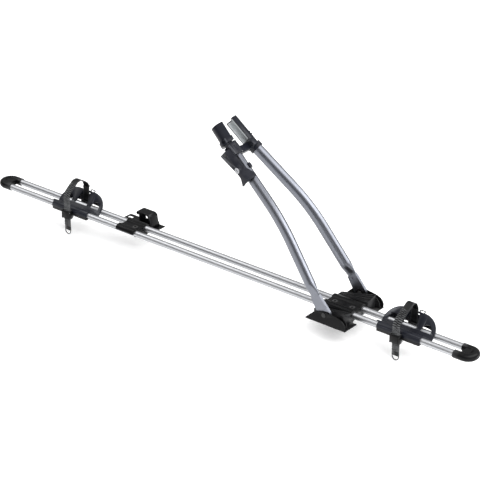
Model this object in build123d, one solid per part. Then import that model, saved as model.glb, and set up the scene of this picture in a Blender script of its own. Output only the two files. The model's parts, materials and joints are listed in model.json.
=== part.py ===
"""Roof mounted bike carrier: twin rails, two wheel trays, a foot and a folding frame holder.

Millimetres, +Z up. +X runs along the rails from the rear tray to the front one. The origin
is on the underside of the foot's rubber pad, where the carrier sits on the front load bar.
"""
from build123d import *
from math import asin, cos, radians, sin, tan
import os

os.makedirs("parts", exist_ok=True)

# Shared clearances
overrun = 2.0              # how far every cutter passes its face
slide_gap = 0.3            # between pieces of different bodies
pin_gap = 0.05             # radial running clearance of a pin in its hole

# Rails
rail_od = 16.0
rail_wall = 1.6
rail_pitch = 38.0
rail_length = 1440.0
rail_axis_z = 17.0
foot_to_front_end = 336.0
rail_r = rail_od / 2
rail_y = rail_pitch / 2
rail_high_x = foot_to_front_end
rail_low_x = rail_high_x - rail_length

# End caps
cap_wall = 2.0
cap_socket = 23.0
cap_patch_length = 12.0
cap_patch_width = 9.0
cap_patch_depth = 0.8
cap_web_t = 13.0
cap_web_start = 13.0
cap_r = rail_r + cap_wall

# Foot: pressed bracket, pad and saddle
pad_t = 3.0
plate_t = 2.5
foot_back_x = -62.5
foot_front_x = 51.5
foot_half_width = 77.0
foot_notch_x = 34.0
foot_notch_half_y = 31.0
foot_length = foot_front_x - foot_back_x
cheek_height = 32.5
inner_cheek_height = 21.5
cheek_x_shares = (0.0, 0.23, 0.41, 0.53, 0.67, 0.82, 0.93, 0.985, 1.0, 0.99)
cheek_z_shares = (0.0, 0.80, 0.99, 1.0, 0.945, 0.87, 0.72, 0.50, 0.28, 0.0)
inner_cheek_x_shares = (0.02, 0.12, 0.26, 0.44, 0.78, 0.88, 0.96, 0.98)
inner_cheek_z_shares = (0.0, 0.55, 0.72, 0.86, 1.3, 1.25, 0.8, 0.0)
cheek_corner_r = 2.5
foot_pad_length = 80.0
foot_pad_margin = 15.0
foot_pad_mid_x = -9.5
pad_groove_w = 3.0
pad_groove_depth = 1.2
pad_groove_pitch = 9.0
pad_groove_count = 7
pad_bare_half_y = 25.0
pivot_boss_r = 10.0
saddle_wall = 5.5
saddle_length = 85.0
saddle_mid_x = -9.5
saddle_web_z = 16.1
near_rib_count = 3
near_rib_w = 2.2
near_rib_h = 2.0
near_rib_first_deg = 58.0
near_rib_step_deg = 34.0
base_top_z = pad_t + plate_t

# Clamping screws, put in from above, that pass down into the load bar's slot
bolt_r = 4.0
bolt_hole_gap = 0.25
bolt_spacing = 50.0
bolt_mid_x = -9.5
bolt_reach = 14.0
bolt_thread_gap = 0.3
bolt_shank_r = 3.6
bolt_pad_gap = 1.0
bolt_head_r = 6.5
bolt_head_h = 5.0
bolt_sunk = 0.2
bolt_socket_r = 3.4
bolt_socket_depth = 3.0
foot_bolt_xs = (bolt_mid_x - bolt_spacing / 2, bolt_mid_x + bolt_spacing / 2)

# Guards with fan ribs beside the rails
guard_inner_y = 34.0
guard_flare = 10.0
guard_side_gap = 0.2
guard_back_x = -55.0
guard_front_x = 36.0
guard_back_inner_z = 20.0
guard_back_outer_z = 21.0
guard_front_inner_z = 30.0
guard_front_outer_z = 38.0
guard_wall_t = 3.0
guard_rib_r = 1.1
guard_rib_start_share = 0.45
guard_rib_end_shares = (0.08, 0.38, 0.68, 0.95)

# Arms
pivot_x = -10.0
pivot_z = 27.0
blade_t = 7.0
cheek_to_blade = 6.5
blade_y = foot_half_width - cheek_to_blade
blade_foot_half_width = 17.5
blade_top_half_width = 13.5
blade_angle_deg = 53.6
blade_length = 47.2
arm_angle_low_deg = 52.3
arm_angle_high_deg = 37.8
arm_head_y = 35.946
arm_half_major = 15.0
arm_half_minor = 11.0
arm_wall = 1.8
arm_taper = 30.0
arm_taper_shares = (0.0, 0.3, 0.7, 1.0)
arm_flat_shares = (1.0, 0.78, 0.22, 0.0)
arm_lower_run = 102.0
arm_bend_r = 470.0
arm_upper_run = 114.0
arm_in_collar = 18.0
pivot_pin_r = 5.0
pivot_head_r = 5.8
pivot_head_t = 1.0
bush_wall = 1.5
arm_rivet_r = 3.0
arm_rivet_sunk = 1.2
arm_rivet_share = 0.82

# Head that joins the arms
head_from_arm_x = 1.262
head_from_arm_z = 5.741
head_angle_deg = 40.0
collar_wall = 3.2
far_collar_start = 5.0
near_collar_start = 10.0
bridge_low_u = 12.0
bridge_high_u = 30.0
bridge_t = 12.0
bridge_top_v = 4.0
bridge_dip = 5.0
bridge_inset = 8.446

# Jaws
jaw_r = 19.5
jaw_wall = 3.5
jaw_tip_u = 96.0
near_jaw_root_u = 45.0
near_jaw_from_arm_y = 1.246
near_jaw_lean_deg = 6.8
near_jaw_turn_deg = 0.0
near_jaw_trim = 2.0
near_sleeve_wall = 3.0
near_sleeve_high_u = 56.0
far_jaw_root_u = 30.0
far_jaw_from_arm_y = 19.446
far_jaw_lean_deg = -4.0
far_jaw_turn_deg = 15.5
far_jaw_trim = -2.2
pad_depth = 5.0
jaw_lip = 2.5
pad_groove_r = 1.4
pad_groove_step_deg = 22.0
pad_groove_lines = 5
near_screw_u = 50.5
near_screw_deg = 14.0
far_screw_u = 46.0
far_screw_deg = 0.0
jaw_screw_r = 3.0
jaw_screw_head_r = 4.4
jaw_screw_head_t = 2.6
jaw_screw_seat = 0.8
pad_hole_r = 5.5
jaw_pocket_r = 4.5
jaw_pocket_depth = 1.0
jaw_tooth_h = 2.6
jaw_tooth_w = 3.0
jaw_tooth_t = 5.0
jaw_tooth_us = (38.0, 45.0)
jaw_tongue_t = 13.0
jaw_tongue_half_y = 8.0
jaw_tongue_near = 12.0
jaw_tongue_floor = 5.7
jaw_pin_u = 36.0
jaw_pin_from_arm_y = 1.054
jaw_pin_r = 3.0
housing_half_v = 14.0
housing_near_y = 53.0
housing_far_y = 23.0
housing_corner_r = 7.0
housing_top_gap = 0.8
housing_relief_deg = 14.0
housing_crown_r = 18.0
housing_crown_u = 33.8
housing_relief_y = 36.0
jaw_tooth_deg = 68.0

# Clamp lever over the near arm
lever_from_arm_w = 29.054
lever_face_w = -arm_head_y - lever_from_arm_w
lever_t = 3.6
lever_pin_u = 26.0
lever_pin_v = -6.0
lever_pin_r = 3.0
lever_pin_head_r = 3.4
lever_pin_head_t = 0.8
lever_pin_sunk = 12.0
lever_boss_r = 6.0
lever_boss_depth = 8.0
lever_us = (33.0, 8.0, -18.0, -28.0, -40.0, -50.0, -56.0)
lever_left_vs = (-21.0, -17.0, -13.0, -11.0, -12.0, -18.5, -23.0)
lever_ridge_vs = (-2.5, -1.5, -1.0, -0.5, 1.0, 3.0, 4.0)
lever_right_vs = (7.0, 11.5, 12.0, 12.5, 15.0, 18.0, 18.5)
lever_right_depths = (9.5, 10.0, 10.5, 11.0, 14.0, 15.0, 14.5)
lever_lip_vs = (6.5, 11.0, 11.5, 12.5, 14.5, 16.5, 16.5)
lever_lip_depths = (10.5, 11.0, 11.5, 13.0, 19.0, 21.5, 20.5)
lever_left_depth = 7.5
lock_u = -20.0
lock_v = -5.0
lock_r = 7.0
lock_wall = 1.6
lock_depth = 7.0
lock_proud = 1.0
key_slot_length = 7.0
key_slot_width = 1.6
key_slot_depth = 1.5
catch_low_u = -32.0
catch_high_u = -20.0
catch_r = 5.0
catch_side = -1
catch_offset = 3.0

# Wheel trays
rear_tray_from_end = 242.0
front_tray_from_foot = 115.5
tray_mid_x = (rail_low_x + rear_tray_from_end, foot_front_x + front_tray_from_foot)
tray_skin = 3.0
wing_half_length = 71.0
wing_slope_length = 54.5
wing_angle_deg = 45.7
wing_root_y = 2.0
wing_root_drop = 4.0
wing_corner_r = 45.0
wing_flange = 5.0
rim_low = 16.0
hole_flange = 4.0
flange_t = 2.2
side_hole_x = 46.0
side_hole_half_width = 13.5
side_hole_low = 13.0
side_hole_height = 19.0
mid_hole_low_half = 21.0
mid_hole_top_half = 13.0
mid_hole_low = 13.0
mid_hole_top = 50.0
hole_corner_r = 3.0
tray_back_x = -61.0
tray_front_x = 57.0
tray_skirt_low_z = 15.0
wing_skirt_low_z = 17.3
tray_crest_wall = 3.2
tray_arch_r = 14.0
ring_x = 9.0
ring_length = 15.0
ring_height = 6.0
ring_t = 2.2
keel_bottom_z = 7.5
keel_near_y = -29.5
keel_far_y = 31.5
keel_upstand_z = 24.0
keel_upstand_t = 4.0
keel_split_gap = 0.6
tray_screw_r = 2.5
tray_screw_head_r = 4.5
tray_screw_head_t = 3.0
tray_screw_x = 40.0
tray_screw_cover = 1.0

# Wheel straps: the loop, the buckle and the hanging tail
strap_w = 20.0
strap_t = 2.6
strap_gap = 0.3
strap_near_y = -37.5
strap_tail_z = -45.0
strap_tail_hole_half = 6.5
strap_tail_hole_height = 13.0
strap_tail_rim = 2.5
strap_shoulder_z = (68.0, 52.0)
strap_peak_y = (4.0, 24.0)
strap_peak_z = (99.0, 86.0)
strap_far_y = (36.4, 34.8)
strap_far_z = (74.0, 62.0)
strap_end_y = 33.1
strap_end_z = 13.5
strap_bends = ((24.0, 22.0, 20.0, 30.0), (24.0, 12.0, 14.0, 30.0))
buckle_w = 26.0
buckle_low_z = 1.0
buckle_high_z = 24.0
buckle_y = -33.0
buckle_depth = 12.5
buckle_side_t = 2.6
buckle_back_t = 2.4
buckle_axis_z = 19.5
buckle_axis_y = -42.7
buckle_pin_r = 1.6
buckle_lever_t = 3.0
buckle_lever_length = 17.0
buckle_lever_boss_r = 3.4
anchor_w = 26.0
anchor_t = 2.2
anchor_low_z = 12.5
anchor_high_z = 23.0
anchor_tilt_gap = 0.6
anchor_rivet_r = 1.8
anchor_rivet_head_r = 3.2
anchor_rivet_head_t = 0.8
anchor_rivet_x = 6.0
anchor_rivet_z = 18.5

# Rear bracket
rear_from_end = 430.0
rear_mid_x = rail_low_x + rear_from_end
rear_length = 58.0
rear_shift = 2.0
rear_sleeve_wall = 4.0
rear_rib_w = 2.0
rear_rib_h = 1.2
rear_web_z = 15.0
rear_plate_t = 2.0
rear_plate_back_x = -74.0
rear_plate_front_x = 44.0
rear_plate_near_y = -6.0
rear_plate_far_y = 78.0
rear_plate_waist_y = 44.0
rear_slot_length = 15.0
rear_slot_width = 10.0
rear_slot_x = -61.0
rear_slot_y = 64.0
rear_base_near_y = -9.0
rear_base_far_y = 33.0
rear_pad_length = 62.0
rear_pad_near_y = -4.0
rear_pad_far_y = 72.0
rear_lever_low_y = 40.0
rear_lever_high_y = 66.0
rear_lever_t = 3.5
rear_lever_height = 38.6
rear_lever_back_x = -11.0
rear_lever_front_x = 32.0
rear_lever_lip = 9.0
rear_lip_r = 5.0
rear_lip_bore_r = 2.8
rear_notch_x = -2.0
rear_notch_low_z = 11.0
rear_notch_high_z = 25.0
rear_lever_pin_x = 26.0
rear_lever_pin_z = 13.0
rear_lever_pin_r = 3.0
rear_ear_t = 3.0
rear_ear_r = 6.5
rear_lever_hole_r = 4.2
rear_lever_hole_x = 14.0
rear_lever_hole_z = 35.0
rear_bolt_x = 12.0
rear_bolt_reach = 4.0


def on_xz(points, y_low, y_high, corner=0):
    """A flat shape drawn in X and Z, as thick as y_low to y_high."""
    face = make_face(Polyline(*points, close=True))
    if corner:
        face = fillet(face.vertices(), corner)
    return extrude(Plane(origin=(0, y_high, 0), x_dir=(1, 0, 0), z_dir=(0, -1, 0)) * face, y_high - y_low)


def on_yz(points, x_low, x_high, corner=0):
    """A section drawn in Y and Z, drawn out along X."""
    face = make_face(Polyline(*points, close=True))
    if corner:
        face = fillet(face.vertices(), corner)
    return extrude(Plane(origin=(x_low, 0, 0), x_dir=(0, 1, 0), z_dir=(1, 0, 0)) * face, x_high - x_low)


def block(x_low, x_high, y_low, y_high, z_low, z_high):
    """A plain block between two corners."""
    size = (x_high - x_low, y_high - y_low, z_high - z_low)
    return Pos((x_low + x_high) / 2, (y_low + y_high) / 2, (z_low + z_high) / 2) * Box(*size)


def rod(start, end, radius):
    """A round bar from one point to another."""
    start, end = Vector(start), Vector(end)
    return extrude(Plane(origin=start, z_dir=end - start) * Circle(radius), (end - start).length)


def along_x(radius, x_low, x_high, y, z):
    return rod((x_low, y, z), (x_high, y, z), radius)


def along_y(radius, y_low, y_high, x, z):
    return rod((x, y_low, z), (x, y_high, z), radius)


def along_z(radius, z_low, z_high, x, y):
    return rod((x, y, z_low), (x, y, z_high), radius)


def far_side(piece):
    """The same piece on the far side of the rails."""
    return mirror(piece, about=Plane.XZ)


def save(name, *pieces):
    """Write one node; several pieces stay separate solids."""
    solids = [solid for piece in pieces for solid in piece.solids()]
    export_step(solids[0] if len(solids) == 1 else Compound(children=solids), "parts/" + name + ".step")


# Rails and end caps

def make_rail(y):
    outer = along_x(rail_r, rail_low_x, rail_high_x, y, rail_axis_z)
    bore = along_x(rail_r - rail_wall, rail_low_x - overrun, rail_high_x + overrun, y, rail_axis_z)
    return outer - bore


def make_end_cap(rail_end_x, outward, with_patch):
    """A hollow U bend that joins the two rail ends."""
    mouth_x = rail_end_x - outward * cap_socket
    legs = []
    for y in (-rail_y, rail_y):
        leg = rod((mouth_x, y, rail_axis_z), (rail_end_x, y, rail_axis_z), cap_r)
        leg -= rod((mouth_x - outward * overrun, y, rail_axis_z), (rail_end_x, y, rail_axis_z), rail_r)
        legs.append(leg)
    bend_centre = Plane(origin=(rail_end_x, 0, rail_axis_z), x_dir=(0, 1, 0), z_dir=(1, 0, 0))
    ring = revolve(bend_centre * Pos(rail_y, 0) * Circle(cap_r), Axis((rail_end_x, 0, 0), (0, 0, 1)), -outward * 180)
    cap = legs[0] + legs[1] + ring
    web_x = sorted((mouth_x + outward * cap_web_start, rail_end_x + outward * rail_y / 2))
    web = block(web_x[0], web_x[1], -rail_y, rail_y, rail_axis_z - cap_web_t / 2, rail_axis_z + cap_web_t / 2)
    for y in (-rail_y, rail_y):
        web -= rod((mouth_x, y, rail_axis_z), (rail_end_x, y, rail_axis_z), rail_r)
    cap += web
    if with_patch:
        tip_x = rail_end_x + outward * (rail_y + cap_r)
        inner_x = tip_x - outward * cap_patch_depth
        x_low, x_high = sorted((inner_x, tip_x + outward * overrun))
        half, rise = cap_patch_length / 2, cap_patch_width / 2
        cap -= block(x_low, x_high, -half, half, rail_axis_z - rise, rail_axis_z + rise)
    return cap


# Foot

def cheek_outline(x_shares, z_shares, height):
    return [(foot_back_x + sx * foot_length, pad_t + sz * height) for sx, sz in zip(x_shares, z_shares)]


def make_foot_bracket():
    """Pressed base, notched at the front, with an outer and an inner cheek at each side."""
    base = block(foot_back_x, foot_front_x, -foot_half_width, foot_half_width, pad_t, base_top_z)
    base -= block(foot_notch_x, foot_front_x + overrun, -foot_notch_half_y, foot_notch_half_y,
                  pad_t - overrun, base_top_z + overrun)
    outer_line = cheek_outline(cheek_x_shares, cheek_z_shares, cheek_height)
    outer = on_xz(outer_line, -foot_half_width, plate_t - foot_half_width)
    inner_y = -blade_y + blade_t / 2 + slide_gap
    inner_line = cheek_outline(inner_cheek_x_shares, inner_cheek_z_shares, inner_cheek_height)
    inner = on_xz(inner_line, inner_y, inner_y + plate_t)
    inner += along_y(pivot_boss_r, inner_y, inner_y + plate_t, pivot_x, pivot_z)
    bracket = base + outer + inner + far_side(outer) + far_side(inner)
    reach = foot_half_width + overrun
    bracket -= along_y(pivot_pin_r, -reach, reach, pivot_x, pivot_z)
    for x in foot_bolt_xs:
        bracket -= along_z(bolt_r + bolt_hole_gap, pad_t - overrun, base_top_z + overrun, x, 0)
    return bracket


def make_foot_pad():
    low_x, high_x = foot_pad_mid_x - foot_pad_length / 2, foot_pad_mid_x + foot_pad_length / 2
    half_y = foot_half_width - foot_pad_margin
    pad = block(low_x, high_x, -half_y, half_y, 0, pad_t)
    for i in range(pad_groove_count):
        x = foot_pad_mid_x + (i - (pad_groove_count - 1) / 2) * pad_groove_pitch - pad_groove_w / 2
        for low, high in ((-half_y - overrun, -pad_bare_half_y), (pad_bare_half_y, half_y + overrun)):
            pad -= block(x, x + pad_groove_w, low, high, -overrun, pad_groove_depth)
    for x in foot_bolt_xs:
        pad -= along_z(bolt_r + bolt_pad_gap, -overrun, pad_t + overrun, x, 0)
    return pad


def rail_seats(x_low, x_high, gap):
    """Two cutters the size of the rails, with a gap all round."""
    reach_low, reach_high = x_low - overrun, x_high + overrun
    near = along_x(rail_r + gap, reach_low, reach_high, -rail_y, rail_axis_z)
    far = along_x(rail_r + gap, reach_low, reach_high, rail_y, rail_axis_z)
    return near + far


def make_saddle(x_low, x_high, wall, web_z, gap):
    """Upper half: a half sleeve over each rail and a web between them."""
    outer_r = rail_r + gap + wall
    saddle = along_x(outer_r, x_low, x_high, -rail_y, rail_axis_z) + along_x(outer_r, x_low, x_high, rail_y, rail_axis_z)
    saddle += block(x_low, x_high, -rail_y, rail_y, rail_axis_z, rail_axis_z + web_z - rail_r)
    reach = rail_y + outer_r + overrun
    saddle -= block(x_low - overrun, x_high + overrun, -reach, reach, 0, rail_axis_z + keel_split_gap / 2)
    return saddle - rail_seats(x_low, x_high, gap)


def make_saddle_base(x_low, x_high, y_low, y_high, z_low, gap):
    """Lower half that the rails lie in."""
    base = block(x_low, x_high, y_low, y_high, z_low, rail_axis_z - keel_split_gap / 2)
    return base - rail_seats(x_low, x_high, gap)


def saddle_bolt_holes(piece, xs):
    for x in xs:
        piece -= along_z(bolt_r + bolt_hole_gap, -overrun, rail_axis_z + rail_od, x, 0)
    return piece


def sunk_heads(piece, xs, web_z):
    """Counterbores that take the screw heads below the top of the web."""
    top_z = rail_axis_z + web_z - rail_r
    for x in xs:
        piece -= along_z(bolt_head_r + bolt_hole_gap, top_z - bolt_sunk - bolt_head_h, top_z + overrun, x, 0)
    return piece


def make_clamp_bolt(x, web_z, reach):
    """Socket screw with a waisted shank, whose thread stands out of the pad."""
    head_z = rail_axis_z + web_z - rail_r - bolt_sunk
    screw = along_z(bolt_r, -reach, -bolt_thread_gap, x, 0)
    screw += along_z(bolt_shank_r, -reach, head_z, x, 0)
    screw += along_z(bolt_head_r, head_z - bolt_head_h, head_z, x, 0)
    socket = Pos(x, 0, head_z - bolt_socket_depth) * RegularPolygon(bolt_socket_r, 6)
    return screw - extrude(socket, bolt_socket_depth)


def make_foot_saddle():
    x_low, x_high = saddle_mid_x - saddle_length / 2, saddle_mid_x + saddle_length / 2
    saddle = make_saddle(x_low, x_high, saddle_wall, saddle_web_z, 0)
    rib_r = rail_r + saddle_wall
    for i in range(near_rib_count):
        angle = radians(near_rib_first_deg + i * near_rib_step_deg)
        y, z = -rail_y + rib_r * cos(angle), rail_axis_z + rib_r * sin(angle)
        saddle += along_x(near_rib_w / 2, x_low, x_high, y, z)
    return sunk_heads(saddle_bolt_holes(saddle, foot_bolt_xs), foot_bolt_xs, saddle_web_z)


def make_foot_saddle_base():
    x_low, x_high = saddle_mid_x - saddle_length / 2, saddle_mid_x + saddle_length / 2
    reach = rail_y + rail_r + saddle_wall
    base = make_saddle_base(x_low, x_high, -reach, reach, base_top_z, 0)
    return saddle_bolt_holes(base, foot_bolt_xs)


guard_front_outer_y = blade_y - blade_t / 2 - slide_gap - plate_t - guard_side_gap
guard_back_outer_y = guard_front_outer_y - guard_flare


def make_guard():
    """Hollow moulded guard beside the rails; its top rises to the front and outwards, with fan ribs."""
    def frame(x, inner_z, outer_y, outer_z, inset):
        corners = [(-guard_inner_y - inset, base_top_z - (overrun if inset else 0)), (-guard_inner_y - inset, inner_z - inset),
                   (-outer_y + inset, outer_z - inset), (-outer_y + inset, base_top_z - (overrun if inset else 0))]
        return Plane(origin=(x, 0, 0), x_dir=(0, 1, 0), z_dir=(1, 0, 0)) * make_face(Polyline(*corners, close=True))

    shell = loft([frame(guard_back_x, guard_back_inner_z, guard_back_outer_y, guard_back_outer_z, 0),
                  frame(guard_front_x, guard_front_inner_z, guard_front_outer_y, guard_front_outer_z, 0)], ruled=True)
    shell -= loft([frame(guard_back_x + guard_wall_t, guard_back_inner_z, guard_back_outer_y, guard_back_outer_z, guard_wall_t),
                   frame(guard_front_x - guard_wall_t, guard_front_inner_z, guard_front_outer_y, guard_front_outer_z,
                         guard_wall_t)], ruled=True)
    start_z = guard_back_inner_z + guard_rib_start_share * (guard_back_outer_z - guard_back_inner_z)
    start_y = guard_inner_y + guard_rib_start_share * (guard_back_outer_y - guard_inner_y)
    start = Vector(guard_back_x + guard_rib_r, -start_y, start_z)
    for share in guard_rib_end_shares:
        end_y = guard_inner_y + share * (guard_front_outer_y - guard_inner_y)
        end_z = guard_front_inner_z + share * (guard_front_outer_z - guard_front_inner_z)
        shell += rod(start, Vector(guard_front_x - guard_rib_r, -end_y, end_z), guard_rib_r)
    return shell


# Arms

blade = radians(blade_angle_deg)
low = radians(arm_angle_low_deg)
high = radians(arm_angle_high_deg)
blade_top = (pivot_x - blade_length * cos(blade), pivot_z + blade_length * sin(blade))
bend_tangent = arm_bend_r * tan((low - high) / 2)
head_run = bend_tangent + arm_upper_run
arm_corner_run = arm_taper + arm_lower_run + bend_tangent
arm_reach = arm_corner_run * cos(low) + head_run * cos(high)
splay = asin((blade_y - arm_head_y) / arm_reach)
arm_plane = Plane(origin=(blade_top[0], -blade_y, blade_top[1]),
                  x_dir=(-cos(splay), sin(splay), 0), z_dir=(sin(splay), cos(splay), 0))
arm_start = (arm_taper * cos(low), arm_taper * sin(low))
arm_corner = (arm_corner_run * cos(low), arm_corner_run * sin(low))


def arm_point(run):
    """A point on the upper straight of the near arm, run past the bend's corner."""
    a, b = arm_corner[0] + run * cos(high), arm_corner[1] + run * sin(high)
    return arm_plane.from_local_coords((a, b, 0))


arm_head = arm_point(head_run)
arm_top = arm_point(head_run + arm_in_collar)
arm_axis = (arm_top - arm_head).normalized()
arm_across = (arm_plane.z_dir.cross(arm_axis)).normalized()


def arm_section_plane(origin):
    return Plane(origin=origin, x_dir=arm_across, z_dir=arm_axis)


def make_arm():
    """Oval tube with one gentle bend, drawn down to a flat blade at the pivot."""
    end = (arm_corner[0] + (head_run + arm_in_collar) * cos(high), arm_corner[1] + (head_run + arm_in_collar) * sin(high))
    path = arm_plane * FilletPolyline(arm_start, arm_corner, end, radius=arm_bend_r)
    start = arm_plane.from_local_coords((arm_start[0], arm_start[1], 0))
    tangent = arm_plane.x_dir * cos(low) + Vector(0, 0, sin(low))
    across = arm_plane.z_dir.cross(tangent)
    mouth = Plane(origin=start, x_dir=across, z_dir=tangent)
    tube = sweep(mouth * Ellipse(arm_half_major, arm_half_minor), path)
    tube -= sweep(mouth * Ellipse(arm_half_major - arm_wall, arm_half_minor - arm_wall), path)
    foot_point = Vector(blade_top[0], -blade_y, blade_top[1])
    foot_across = Vector(sin(blade), 0, cos(blade))
    foot_axis = Vector(-cos(blade), 0, sin(blade))
    sections = []
    for along, flat in zip(arm_taper_shares, arm_flat_shares):
        axis = foot_axis * (1 - along) + tangent * along
        plane = Plane(origin=foot_point + (start - foot_point) * along, x_dir=foot_across * (1 - along) + across * along, z_dir=axis)
        major = arm_half_major + (blade_top_half_width - arm_half_major) * (1 - along)
        minor = arm_half_minor + (blade_t / 2 - arm_half_minor) * flat
        sections.append(plane * Ellipse(major, minor))
    taper = loft(sections)
    y_low, y_high = -blade_y - blade_t / 2, -blade_y + blade_t / 2
    blade_body = along_y(blade_foot_half_width, y_low, y_high, pivot_x, pivot_z)
    foot_side = (blade_foot_half_width * sin(blade), blade_foot_half_width * cos(blade))
    top_side = (blade_top_half_width * sin(blade), blade_top_half_width * cos(blade))
    blade_body += on_xz([(pivot_x - foot_side[0], pivot_z - foot_side[1]), (pivot_x + foot_side[0], pivot_z + foot_side[1]),
                         (blade_top[0] + top_side[0], blade_top[1] + top_side[1]),
                         (blade_top[0] - top_side[0], blade_top[1] - top_side[1])], y_low, y_high)
    arm = tube + taper + blade_body
    arm -= along_y(pivot_pin_r + bush_wall, y_low - overrun, y_high + overrun, pivot_x, pivot_z)
    return arm - arm_rivet_hole()


def rivet_spot():
    return (pivot_x - arm_rivet_share * blade_length * cos(blade), pivot_z + arm_rivet_share * blade_length * sin(blade))


def arm_rivet_hole():
    x, z = rivet_spot()
    return along_y(arm_rivet_r, -blade_y - arm_half_major, -blade_y + arm_half_major, x, z)


def make_arm_rivet():
    """Rivet that pins the flattened end to the core inside the tube: flush outside, sunk inside."""
    x, z = rivet_spot()
    return along_y(arm_rivet_r, -blade_y - blade_t / 2, -blade_y + blade_t / 2 - arm_rivet_sunk, x, z)


def make_pivot_bush():
    y_low, y_high = -blade_y - blade_t / 2, -blade_y + blade_t / 2
    bush = along_y(pivot_pin_r + bush_wall, y_low, y_high, pivot_x, pivot_z)
    return bush - along_y(pivot_pin_r + pin_gap, y_low - overrun, y_high + overrun, pivot_x, pivot_z)


def make_pivot_pin():
    """Headed pin through both cheeks of the bracket."""
    outer_y = -foot_half_width
    inner_y = -blade_y + blade_t / 2 + slide_gap + plate_t
    pin = along_y(pivot_pin_r, outer_y, inner_y, pivot_x, pivot_z)
    pin += along_y(pivot_head_r, outer_y - pivot_head_t, outer_y, pivot_x, pivot_z)
    return pin + along_y(pivot_head_r, inner_y, inner_y + pivot_head_t, pivot_x, pivot_z)


# Head: u runs from the arm ends to the jaw tips, v across the jaws, w along Y

tilt = radians(head_angle_deg)
u_dir = Vector(-cos(tilt), 0, sin(tilt))
v_dir = Vector(sin(tilt), 0, cos(tilt))
head_origin = Vector(arm_head.X + head_from_arm_x, 0, arm_head.Z + head_from_arm_z)
near_jaw_root_y = near_jaw_from_arm_y - arm_head_y
far_jaw_root_y = arm_head_y - far_jaw_from_arm_y
jaw_pin_y = -arm_head_y - jaw_pin_from_arm_y


def head_point(u, v, w):
    return head_origin + u_dir * u + v_dir * v + Vector(0, w, 0)


def across_head(u):
    """Plane square to the jaws at u, with local x along v and local y along Y."""
    return Plane(origin=head_point(u, 0, 0), x_dir=v_dir, z_dir=u_dir)


def head_outline(points, w_low, w_high, corner=0):
    """A flat shape drawn in u and v, as thick as w_low to w_high."""
    face = make_face(Polyline(*points, close=True))
    if corner:
        face = fillet(face.vertices(), corner)
    plane = Plane(origin=head_point(0, 0, w_low), x_dir=u_dir, z_dir=(0, 1, 0))
    return extrude(plane * face, w_high - w_low)


def head_rod(start, end, radius):
    return rod(head_point(*start), head_point(*end), radius)


def arm_run_at(u):
    """How far past the arm's head station its axis meets the plane square to the jaws at u."""
    offset = (head_origin + u_dir * u - arm_head).dot(u_dir)
    return offset / arm_axis.dot(u_dir)


def make_collar(start_u):
    """Socket on the end of the near arm, closed past the arm's top."""
    start, end = arm_run_at(start_u), arm_in_collar + collar_wall
    sleeve_plane = arm_section_plane(arm_head + arm_axis * start)
    sleeve = extrude(sleeve_plane * Ellipse(arm_half_major + collar_wall, arm_half_minor + collar_wall), end - start)
    return sleeve - arm_bore(start - overrun)


def arm_bore(start):
    bore_plane = arm_section_plane(arm_head + arm_axis * start)
    return extrude(bore_plane * Ellipse(arm_half_major, arm_half_minor), arm_in_collar - start)


def make_bridge():
    """Curved bar that ties the two arm ends together and clears the frame tube."""
    span = arm_head_y - bridge_inset
    low_v = bridge_top_v - bridge_t
    top = ThreePointArc((bridge_top_v, -span), (bridge_top_v - bridge_dip, 0), (bridge_top_v, span))
    bottom = ThreePointArc((low_v, span), (low_v - bridge_dip, 0), (low_v, -span))
    sides = (Line((bridge_top_v, span), (low_v, span)), Line((low_v, -span), (bridge_top_v, -span)))
    face = make_face(Wire([*top.edges(), *sides[0].edges(), *bottom.edges(), *sides[1].edges()]))
    bar = extrude(across_head(bridge_low_u) * face, bridge_high_u - bridge_low_u)
    near_start = arm_run_at(near_collar_start)
    solid_collar = arm_section_plane(arm_head + arm_axis * near_start)
    reach = arm_in_collar + collar_wall - near_start
    solid_collar = extrude(solid_collar * Ellipse(arm_half_major + collar_wall, arm_half_minor + collar_wall), reach)
    return bar - solid_collar - near_housing() - far_side(solid_collar) - head_neck(bridge_low_u, far_jaw_root_u + overrun)


# Jaws: each has its own axis, leaning a little towards the frame tube

class Jaw:
    """Where one jaw stands: its side, root, lean, turn, edge trim and the spot of its screw."""

    def __init__(self, side, root_u, root_y, lean_deg, turn_deg, trim, screw_u, screw_deg):
        self.side, self.root_u, self.turn_deg, self.trim = side, root_u, turn_deg, trim
        self.screw_run, self.screw_angle = screw_u - root_u, radians(screw_deg)
        lean = radians(lean_deg)
        self.axis = u_dir * cos(lean) + Vector(0, sin(lean), 0)
        self.root = head_point(root_u, 0, root_y)
        self.length = (jaw_tip_u - root_u) / cos(lean)

    def plane(self, run):
        return Plane(origin=self.root + self.axis * run, x_dir=v_dir, z_dir=self.axis)

    def half(self, outer_r, inner_r):
        """Half of a ring in v and Y that bulges away from the frame tube."""
        bulge = self.side if self.plane(0).y_dir.Y > 0 else -self.side
        ring = Circle(outer_r)
        if inner_r:
            ring -= Circle(inner_r)
        depth = outer_r - self.trim
        keep = Pos(0, bulge * (self.trim + depth / 2)) * Rectangle(outer_r * 2 + overrun, depth)
        return ring & (Rot(0, 0, -bulge * self.turn_deg) * keep)

    def shell(self, outer_r, inner_r, low, high):
        return extrude(self.plane(low) * self.half(outer_r, inner_r), high - low)

    def line(self, run, angle, radius):
        """A point at an angle round the jaw's axis from its bulge."""
        plane = self.plane(run)
        bulge = self.side if plane.y_dir.Y > 0 else -self.side
        return plane.from_local_coords((radius * sin(angle), bulge * radius * cos(angle), 0))


near_jaw_place = Jaw(-1, near_jaw_root_u, near_jaw_root_y, near_jaw_lean_deg, near_jaw_turn_deg, near_jaw_trim,
                     near_screw_u, near_screw_deg)
far_jaw_place = Jaw(1, far_jaw_root_u, far_jaw_root_y, far_jaw_lean_deg, far_jaw_turn_deg, far_jaw_trim,
                    far_screw_u, far_screw_deg)
pad_outer_r = jaw_r - jaw_wall
pad_inner_r = pad_outer_r - pad_depth


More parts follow.
